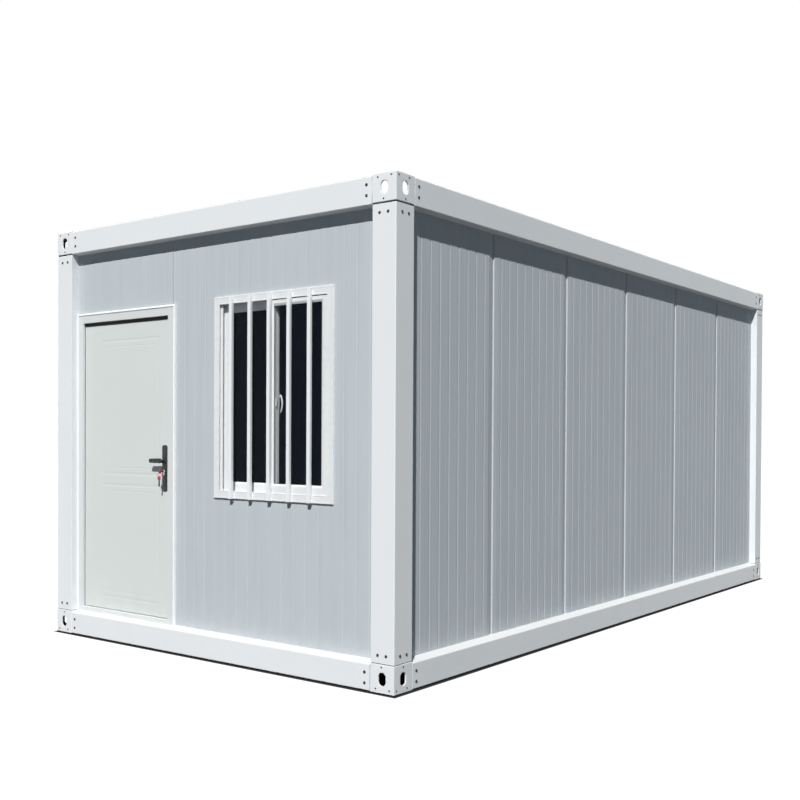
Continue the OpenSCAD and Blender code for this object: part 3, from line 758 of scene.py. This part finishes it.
# Foot of the frame's front, on the slope of the base beam's ledge
foot_z = frame_low.z - FOOT_DROP
outer = (frame_low.x, frame_high.x, foot_z, frame_high.z)
door_front = frame_low.y - LOW.y
wall_back = frame_high.y - LOW.y
leaf_front = leaf_low.y - LOW.y
clear_z1 = leaf_high.z - LEAF_LAP
opening = (clear[0], clear[1], foot_z, clear_z1)
lining = (leaf_low.x - LEAF_GAP, leaf_high.x + LOCK_GAP, foot_z, leaf_high.z + LEAF_GAP)
stop_back = leaf_front - SEAL_GAP
DOOR_PROFILE = [(outer, JAMB_LAP, WALL_DEPTH), (outer, JAMB_LAP, door_front + 0.0015),
                (opening, -0.002, door_front + 0.0015), (opening, -0.0006, door_front + 0.0021),
                (opening, 0.0, door_front + 0.0035), (opening, 0.0, stop_back), (lining, 0.0, stop_back),
                (lining, 0.0, wall_back), (lining, -LINING_T, wall_back), (lining, -LINING_T, WALL_DEPTH)]
bm = bmesh.new()
loft(bm, [inset_ring(r, i, d, foot=False) for r, i, d in DOOR_PROFILE], wrap_ring=False, wrap_loft=True)
threshold_z = leaf_low.z - LEAF_GAP
SILL_PROFILE = [(door_front + 0.003, foot_z), (door_front + 0.003, threshold_z - 0.002),
                (door_front + 0.005, threshold_z), (door_front + 0.008, threshold_z),
                (door_front + 0.009, threshold_z - 0.0012), (door_front + 0.012, threshold_z - 0.0012),
                (door_front + 0.013, threshold_z), (stop_back, threshold_z), (stop_back, foot_z)]
loft(bm, [[Vector((x, LOW.y + d, z)) for d, z in SILL_PROFILE] for x in clear])
slab(bm, (lining[0], LOW.y + stop_back, frame_low.z), (lining[1], LOW.y + wall_back, threshold_z))
piece("door_frame_flat", bm, "house", jamb_white, ["door_frame"])

lip_front = door_front - LIP_OUT
# Share of the width, share of the flare, and depth
LIP_PROFILE = [(0.0, 1.0, WALL_DEPTH), (0.0, 0.8, lip_front + 0.011), (0.0, 0.3, lip_front + 0.006),
               (0.05, 0.0, lip_front + 0.0025), (0.2, 0.0, lip_front + 0.0008), (0.4, 0.0, lip_front),
               (0.65, 0.0, lip_front), (0.85, 0.0, lip_front + 0.0008), (0.96, 0.0, lip_front + 0.0026),
               (1.0, 0.0, lip_front + 0.005), (1.0, 0.0, WALL_DEPTH)]
rings = []
for share, flare, depth in LIP_PROFILE:
    hinge_in, lock_in, head_in = (share * w - flare * f for w, f in zip(LIP_WIDTHS, LIP_FLARES))
    rings.append(rectangle(outer[0] + hinge_in, outer[1] - lock_in, outer[2], outer[3] - head_in, depth))
bm = bmesh.new()
loft(bm, rings, wrap_ring=False, wrap_loft=True)
piece("door_frame_lip", bm, "house", lip_white, smooth=40)

# Rubber seal between the stop and the leaf, a little inside the leaf's edge
SEAL_IN = 0.0005
bm = bmesh.new()
seal = (leaf_low.x + SEAL_IN, leaf_high.x - SEAL_IN, threshold_z, leaf_high.z - SEAL_IN)
# Inset, and distance in front of the leaf
SEAL_PROFILE = [(0.0, 0.0045), (0.0, 0.0008), (0.004, 0.0008), (0.004, 0.0045)]
rings = [inset_ring(seal, i, leaf_front - d, foot=False) for i, d in SEAL_PROFILE]
loft(bm, rings, wrap_ring=False, wrap_loft=True)
# Dark strip along the head as painted shade on the leaf: distance in front of the leaf, and height
HEAD_SHADE_H = 0.022
head_shade_z = clear_z1 - HEAD_SHADE_H
HEAD_SHADE_PROFILE = [(0.0045, clear_z1 + 0.002), (0.0045, head_shade_z + 0.003), (0.0030, head_shade_z),
                 (0.0012, head_shade_z + 0.001), (0.0012, clear_z1 + 0.002)]
loft(bm, [[Vector((x, LOW.y + (leaf_front - d), z)) for d, z in HEAD_SHADE_PROFILE] for x in clear])
# The rubber seal, and the dark strip of painted shade under the head
piece("door_seal_and_shade_strip", bm, "house", black_rubber)


# Door leaf with pressed panels on both faces
PRESS_X = (-1.085, -0.485)
PRESS_Z = ((0.275, 1.060), (1.115, 2.035))
PRESS = [(0.0, 0.0), (0.004, 0.0005), (0.011, 0.0007), (0.018, 0.0005), (0.022, 0.0),
         (0.046, 0.0), (0.052, 0.0005), (0.058, 0.0)]


def band(bm, a, b):
    """Faces between two closed rings of vertices."""
    for k in range(len(a)):
        n = (k + 1) % len(a)
        bm.faces.new((a[k], a[n], b[n], b[k]))


def pressed_face(bm, y, inward):
    """Face of the leaf with pressed outlines, drawn cell by cell. inward is the direction into the leaf."""
    xs = [leaf_low.x, *PRESS_X, leaf_high.x]
    zs = [leaf_low.z, *PRESS_Z[0], *PRESS_Z[1], leaf_high.z]
    for i in range(len(xs) - 1):
        for j in range(len(zs) - 1):
            cell = (xs[i], xs[i + 1], zs[j], zs[j + 1])
            steps = PRESS if i == 1 and j in (1, 3) else PRESS[:1]
            rings = [inset_ring(cell, step, y - LOW.y + inward * fall) for step, fall in steps]
            made = [[bm.verts.new(p) for p in ring] for ring in rings]
            for a, b in zip(made, made[1:]):
                band(bm, a, b)
            bm.faces.new(made[-1])


bm = bmesh.new()
pressed_face(bm, leaf_low.y, 1)
pressed_face(bm, leaf_high.y, -1)
leaf_corners = ((leaf_low.x, leaf_low.z), (leaf_high.x, leaf_low.z),
                (leaf_high.x, leaf_high.z), (leaf_low.x, leaf_high.z))
rim = [[bm.verts.new((x, y, z)) for x, z in leaf_corners] for y in (leaf_low.y, leaf_high.y)]
band(bm, *rim)
bmesh.ops.remove_doubles(bm, verts=bm.verts, dist=WELD_DISTANCE)
piece("door_leaf_pressed", bm, "door", door_white, ["door_leaf"])


# Lock: plates with slightly arched ends, cylinder, keys, and the lever
PLATE_RISE = 0.007
# Round parts, as heights and radii, set a little into what carries them
SUNK = 0.001
ROSE, ROSE_OUT = [(0, 0.019), (0.004, 0.019), (0.006, 0.0165)], 0.005
CYLINDER_ROUND = [(0, 0.0095), (0.005, 0.0095), (0.006, 0.0085)]
# Foot of the cylinder: half its width, how far it stands out, its heights from the round
CYLINDER_HALF, CYLINDER_OUT, CYLINDER_FOOT = 0.005, 0.004, (-0.025, -0.004)
CYLINDER_Z = 1.153
plate_low, plate_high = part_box("lock_plates")
lever_low, lever_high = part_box("door_lever")
spindle = Vector(((plate_low.x + plate_high.x) / 2, 0.0, (lever_low.z + lever_high.z) / 2))
plate_half = (plate_high.x - plate_low.x) / 2


def plate_ring(inset, y, count=9):
    """Outline of a lock plate: straight sides, an arched top and an arched foot."""
    half = plate_half - inset
    points = []
    for end, z in ((1, plate_high.z - inset), (-1, plate_low.z + inset)):
        for i in range(count):
            t = -1 + 2 * i / (count - 1)
            points.append(Vector((spindle.x + end * half * t, y, z - end * PLATE_RISE * t * t)))
    return points


bm = bmesh.new()
for foot, top in ((leaf_low.y, plate_low.y), (leaf_high.y, plate_high.y)):
    height = top - foot
    loft(bm, [plate_ring(0.0, foot), plate_ring(0.0, foot + height * 0.55),
              plate_ring(0.0025, foot + height * 0.85), plate_ring(0.006, top)])
    out = -1 if height < 0 else 1
    turned(bm, (spindle.x, top - out * SUNK, spindle.z), (0, out, 0), ROSE, 28)
piece("lock_plates_arched", bm, "door", lock_bronze, ["lock_plates"], smooth=35)

bm = bmesh.new()
for y, out in ((plate_low.y, -1), (plate_high.y, 1)):
    turned(bm, (spindle.x, y - out * SUNK, CYLINDER_Z), (0, out, 0), CYLINDER_ROUND, 24)
    y0, y1 = sorted((y, y + out * CYLINDER_OUT))
    slab(bm, (spindle.x - CYLINDER_HALF, y0, CYLINDER_Z + CYLINDER_FOOT[0]),
         (spindle.x + CYLINDER_HALF, y1, CYLINDER_Z + CYLINDER_FOOT[1]))
piece("lock_cylinder", bm, "door", hinge_steel, smooth=35)


# Keys: one in the cylinder, one below it on a slanting wire ring
KEY_OUT, KEY_HALF_T = 0.03, 0.0035
RING_R, WIRE_R, RING_STEPS = 0.013, 0.001, 28
RING_SLANT = (0.25, 0.97)


def key_head(bm, centre, across, radius):
    """Round plastic head of a key, upright, with its rim eased."""
    normal = across.cross(Z_AXIS)
    rows = [(-KEY_HALF_T, radius * 0.86), (-KEY_HALF_T * 0.5, radius),
            (KEY_HALF_T * 0.5, radius), (KEY_HALF_T, radius * 0.86)]
    loft(bm, [circle(centre + normal * n, across, Z_AXIS, r, RING_STEPS) for n, r in rows])


key_y = plate_low.y - KEY_OUT
bm = bmesh.new()
key_head(bm, Vector((spindle.x, key_y - 0.004, CYLINDER_Z)), Y_AXIS, 0.013)
key_head(bm, Vector((spindle.x - 0.004, key_y - 0.008, CYLINDER_Z - 0.043)), X_AXIS, 0.014)
piece("key_heads", bm, "door", red_plastic, smooth=35)

bm = bmesh.new()
slab(bm, (spindle.x - 0.0012, key_y, CYLINDER_Z - 0.004),
     (spindle.x + 0.0012, plate_low.y - ROSE_OUT, CYLINDER_Z + 0.004))
slab(bm, (spindle.x - 0.0095, key_y - 0.0095, CYLINDER_Z - 0.098),
     (spindle.x + 0.0015, key_y - 0.0065, CYLINDER_Z - 0.056))
ring_centre = Vector((spindle.x - 0.002, key_y - 0.006, CYLINDER_Z - 0.022))
slant_x, slant_y = RING_SLANT
wire = []
for i in range(RING_STEPS):
    t = 2 * math.pi * i / RING_STEPS
    outward = Vector((slant_x * math.cos(t), slant_y * math.cos(t), math.sin(t))).normalized()
    side = Vector((slant_y, -slant_x, 0))
    wire.append(circle(ring_centre + outward * RING_R, outward, side, WIRE_R, 8))
loft(bm, wire, wrap_loft=True)
piece("key_blades", bm, "door", dark_zinc, smooth=35)


# Grip: half its height, what it lacks at its solid's tip, how far it lies in from its solid's face, its rise
GRIP_HALF, GRIP_SHORT, GRIP_IN, GRIP_RISE = 0.0160, 0.012, 0.015, 0.004
# How far it reaches past the spindle, half its thickness, and the share of its length that rounds each end
GRIP_PAST, GRIP_HALF_T, GRIP_ROUND = 0.0138, 0.0079, 0.09
# What both halves lose by the tip, and its droop there
GRIP_TAPER, GRIP_THINS, GRIP_DROOP = 0.0022, 0.0012, 0.0015
GRIP_STEPS, GRIP_SIDES = 18, 20
STEM_FOOT_R, STEM_R = 0.0125, 0.0105


def lever_grip(bm, y, foot, out):
    """Stem from the plate and a grip that tapers and droops slightly to its tip."""
    stem = [(0, STEM_FOOT_R), (0.004, STEM_R), (abs(y - foot), STEM_R)]
    turned(bm, (spindle.x, foot, spindle.z), (0, out, 0), stem, 24)
    start = spindle.x + GRIP_PAST
    length = start - lever_low.x - GRIP_SHORT
    rows = []
    for i in range(GRIP_STEPS + 1):
        s = i / GRIP_STEPS
        # Elliptic ends, which stay a little blunt
        missing = max(0.0, 1 - min(s, 1 - s) / GRIP_ROUND)
        end = max(math.sqrt(1 - missing ** 2), 0.12)
        half_h = (GRIP_HALF - GRIP_TAPER * s) * end
        half_t = (GRIP_HALF_T - GRIP_THINS * s) * (0.55 + 0.45 * end)
        centre = Vector((start - s * length, y, spindle.z + GRIP_RISE - GRIP_DROOP * s * s))
        ring = []
        for k in range(GRIP_SIDES):
            t = 2 * math.pi * k / GRIP_SIDES
            c, d = math.cos(t), math.sin(t)
            ring.append(centre + Vector((0, half_t * math.copysign(abs(c) ** 0.7, c),
                                         half_h * math.copysign(abs(d) ** 0.7, d))))
        rows.append(ring)
    loft(bm, rows)


bm = bmesh.new()
lever_grip(bm, lever_low.y + GRIP_IN, plate_low.y - ROSE_OUT, -1)
lever_grip(bm, lever_high.y - GRIP_IN, plate_high.y + ROSE_OUT, 1)
piece("lever_handle", bm, "lever", lock_bronze, ["door_lever"], smooth=40)


# Window: beaded trim, sashes with glazing beads, gaskets and latch
trim = (trim_low.x, trim_high.x, trim_low.z, trim_high.z)
front = trim_low.y - LOW.y
back = trim_high.y - LOW.y
HOLE, CLEAR, CHANNEL, TRIM_LIP = 0.015, 0.048, 0.040, 0.003
TRACK_RIB_H, TRACK_RIB_HALF = 0.014, 0.001
TRIM_PROFILE = [(0.0, WALL_DEPTH), (0.0, front + 0.0015), (0.0015, front), (0.008, front),
                (0.012, front + 0.0006), (0.038, front + 0.0006), (0.042, front), (CLEAR - 0.001, front),
                (CLEAR, front + 0.001), (CLEAR, front + TRIM_LIP), (CHANNEL, front + TRIM_LIP),
                (CHANNEL, back), (HOLE, back), (HOLE, WALL_DEPTH)]
bm = bmesh.new()
loft(bm, [inset_ring(trim, i, d) for i, d in TRIM_PROFILE], wrap_loft=True)
outer_low, outer_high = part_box("window_sash_outer")
inner_low, inner_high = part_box("window_sash_inner")
rib_y = (outer_high.y + inner_low.y) / 2
track_x0, track_x1 = trim[0] + CHANNEL, trim[1] - CHANNEL
track_z0, track_z1 = trim[2] + CHANNEL, trim[3] - CHANNEL
for z0, z1 in ((track_z0, track_z0 + TRACK_RIB_H), (track_z1 - TRACK_RIB_H, track_z1)):
    slab(bm, (track_x0, rib_y - TRACK_RIB_HALF, z0), (track_x1, rib_y + TRACK_RIB_HALF, z1))
# Strip that covers the empty half of the outer track at the left jamb
COVER_W, COVER_DEPTH = 0.023, (0.015, 0.018)
slab(bm, (track_x0, LOW.y + front + COVER_DEPTH[0], track_z0),
     (track_x0 + COVER_W, LOW.y + front + COVER_DEPTH[1], track_z1))
piece("window_trim", bm, "house", window_white, ["window_frame"])


# Glazing: depth of a bead, the pane's lap behind it, its play and its eased edge, and the gasket's width
BEAD_D, PANE_LAP, PANE_GAP, PANE_EASE, GASKET_W = 0.0070, 0.007, 0.0005, 0.001, 0.0015


def sash(node, name, stiles, rails):
    """Sash with beads around its pane. Widths: left and right stile, lower and upper rail."""
    low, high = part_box(node)
    rect = (low.x, high.x, low.z, high.z)
    gap = (low.x + stiles[0], high.x - stiles[1], low.z + rails[0], high.z - rails[1])
    t0 = low.y - LOW.y
    t1 = high.y - LOW.y
    g0, g1 = t0 + BEAD_D, t1 - BEAD_D
    profile = [(rect, 0.0, t1 - 0.0015), (rect, 0.0, t0 + 0.0015), (rect, 0.0015, t0),
               (gap, -0.012, t0), (gap, -0.0105, t0 + 0.0012), (gap, -0.009, t0 + 0.0012),
               (gap, 0.0, t0 + 0.0055), (gap, 0.0, g0), (gap, -0.0085, g0), (gap, -0.0085, g1),
               (gap, 0.0, g1), (gap, 0.0, t1 - 0.0055), (gap, -0.012, t1), (rect, 0.0015, t1)]
    bm = bmesh.new()
    loft(bm, [inset_ring(r, i, d) for r, i, d in profile], wrap_loft=True)
    piece(name, bm, "house", window_white, [node])
    slab(panes, (gap[0] - PANE_LAP, LOW.y + g0 + PANE_GAP, gap[2] - PANE_LAP),
         (gap[1] + PANE_LAP, LOW.y + g1 - PANE_GAP, gap[3] + PANE_LAP), PANE_EASE)
    bead = bmesh.new()
    for d0, d1 in ((g0 - 0.0012, g0 + 0.0004), (g1 - 0.0004, g1 + 0.0012)):
        rings = [(0.0, d0), (0.0, d1), (GASKET_W, d1), (GASKET_W, d0)]
        loft(bead, [inset_ring(gap, i, d) for i, d in rings], wrap_loft=True)
    piece(name + "_gasket", bead, "house", grey_rubber)


panes = bmesh.new()
sash("window_sash_outer", "sash_outer_beaded", (0.032, 0.052), (0.061, 0.033))
sash("window_sash_inner", "sash_inner_beaded", (0.068, 0.032), (0.061, 0.058))
piece("window_panes", panes, "house", glass_dark, ["window_glass"])

# Interlock: a strip that closes the gap between the meeting stiles, and the hook on its end
bm = bmesh.new()
interlock_y = inner_low.y - 0.001
slab(bm, (outer_low.x + 0.016, outer_high.y - 0.0005, outer_low.z),
     (outer_low.x + 0.031, interlock_y, outer_high.z))
slab(bm, (outer_low.x + 0.012, inner_low.y - 0.004, outer_low.z),
     (outer_low.x + 0.016, interlock_y, outer_high.z))
piece("sash_interlock", bm, "house", window_white)

# Crescent latch on the room side of the meeting stiles: plate, pivot, curved arm and keeper
LATCH_Z, KEEPER_Z = (1.555, 1.646), (1.56, 1.61)
LATCH_HALF, LATCH_OUT = 0.009, 0.006
PIVOT_Z = 1.622
PIVOT = [(0, 0.012), (0.009, 0.012), (0.011, 0.0095)]
ARM_TOP, ARM_FOOT, ARM_R, ARM_STEPS = 1.632, 1.524, 0.0055, 14
ARM_SWING, ARM_OUT = 0.021, 0.012
bm = bmesh.new()
latch_x, latch_y = inner_high.x - 0.012, inner_high.y
slab(bm, (latch_x - LATCH_HALF, latch_y, LATCH_Z[0]),
     (latch_x + LATCH_HALF, latch_y + LATCH_OUT, LATCH_Z[1]), 0.002)
turned(bm, (latch_x, latch_y + 0.005, PIVOT_Z), Y_AXIS, PIVOT, 24)
arm = []
for i in range(ARM_STEPS + 1):
    s = i / ARM_STEPS
    swing = ARM_SWING * math.sin(math.pi * (0.12 + 0.75 * s))
    middle = Vector((latch_x + 0.004 + swing, latch_y + ARM_OUT, ARM_TOP - (ARM_TOP - ARM_FOOT) * s))
    thin = 1.0 if 0 < i < ARM_STEPS else 0.6
    arm.append(circle(middle, X_AXIS, Y_AXIS, ARM_R * thin, 12))
loft(bm, arm)
slab(bm, (outer_low.x + 0.020, outer_high.y, KEEPER_Z[0]),
     (outer_low.x + 0.040, outer_high.y + 0.004, KEEPER_Z[1]), 0.0015)
piece("window_latch", bm, "house", window_white, smooth=35)


# Studio: floor, sky, sun, fill and camera

def beside_house(shade):
    """Share of open floor: 0 in the painted contact shadow at the foot of the house, 1 outside it."""
    outside = None
    for axis, edge, sign, strip in (("X", LOW.x, -1, REAR_SHADOW), ("X", HIGH.x, 1, SHADOW_STRIP),
                                    ("Y", LOW.y, -1, SHADOW_STRIP), ("Y", HIGH.y, 1, REAR_SHADOW)):
        past = shade.ramp(shade.axis(axis), edge + sign * strip, edge + sign * (strip + SHADOW_FADE))
        outside = past if outside is None else shade.math("MAXIMUM", outside, past)
    return outside


def studio_floor():
    """Pale floor that meets the white background and keeps the object's shadow."""
    material = bpy.data.materials.new("floor_pale")
    material.use_nodes = True
    material.node_tree.nodes.clear()
    shade = Shading(material.node_tree)
    grey = shade.node("ShaderNodeBsdfDiffuse")
    grey.inputs["Color"].default_value = FLOOR_GREY
    pale = shade.node("ShaderNodeBsdfDiffuse")
    glow = shade.node("ShaderNodeEmission")
    open_floor = beside_house(shade)
    # Painted contact shadow: near the house the floor's tone darkens and its glow fades out
    shade.link(shade.ramp(open_floor, 0.0, 1.0, FLOOR_SHADOW, FLOOR_PALE), pale.inputs["Color"])
    shade.link(shade.ramp(open_floor, 0.0, 1.0, 0.0, FLOOR_GLOW), glow.inputs["Strength"])
    both = shade.node("ShaderNodeAddShader")
    shade.link(pale.outputs[0], both.inputs[0])
    shade.link(glow.outputs[0], both.inputs[1])
    shade.where_seen(grey, both, shade.node("ShaderNodeOutputMaterial"))
    bm = bmesh.new()
    slab(bm, (-FLOOR_REACH, -FLOOR_REACH, -FLOOR_T), (FLOOR_REACH, FLOOR_REACH, 0.0))
    build("studio_floor", bm, material)


def sky():
    """White where it is seen, a softer blue-white where it lights the house."""
    world = bpy.data.worlds.new("studio")
    bpy.context.scene.world = world
    world.use_nodes = True
    world.node_tree.nodes.clear()
    shade = Shading(world.node_tree)
    soft = shade.node("ShaderNodeBackground")
    soft.inputs["Color"].default_value = SKY_COLOUR
    soft.inputs["Strength"].default_value = SKY_STRENGTH
    white = shade.node("ShaderNodeBackground")
    white.inputs["Strength"].default_value = 1.0
    white.inputs["Color"].default_value = (1.0, 1.0, 1.0, 1.0)
    shade.where_seen(soft, white, shade.node("ShaderNodeOutputWorld"))


def sunlight(name, source, strength, angle, colour=(1.0, 1.0, 1.0)):
    """Parallel light from the direction of its source; a wide angle, in degrees, softens its shadows."""
    data = bpy.data.lights.new(name, "SUN")
    data.energy = strength
    data.angle = math.radians(angle)
    data.color = colour
    made = bpy.data.objects.new(name, data)
    bpy.context.scene.collection.objects.link(made)
    made.rotation_euler = source.to_track_quat("Z", "Y").to_euler()


studio_floor()
sky()
sunlight("sun", SUN_FROM, SUN_STRENGTH, SUN_ANGLE, SUN_COLOUR)
sunlight("rear_fill", FILL_FROM, FILL_STRENGTH, FILL_ANGLE)

camera_data = bpy.data.cameras.new("camera")
camera_data.sensor_width = 36.0
camera_data.lens = CAMERA_LENS
camera_data.shift_y = CAMERA_SHIFT_Y
camera_data.clip_end = 200.0
camera = bpy.data.objects.new("camera", camera_data)
bpy.context.scene.collection.objects.link(camera)
camera.matrix_world = (Matrix.Translation(CAMERA_PLACE)
                       @ Matrix.Rotation(math.radians(CAMERA_YAW), 4, "Z")
                       @ Matrix.Rotation(math.radians(90 + CAMERA_PITCH), 4, "X")
                       @ Matrix.Rotation(math.radians(CAMERA_ROLL), 4, "Z"))
bpy.context.scene.camera = camera
bpy.context.scene.view_settings.view_transform = "Standard"
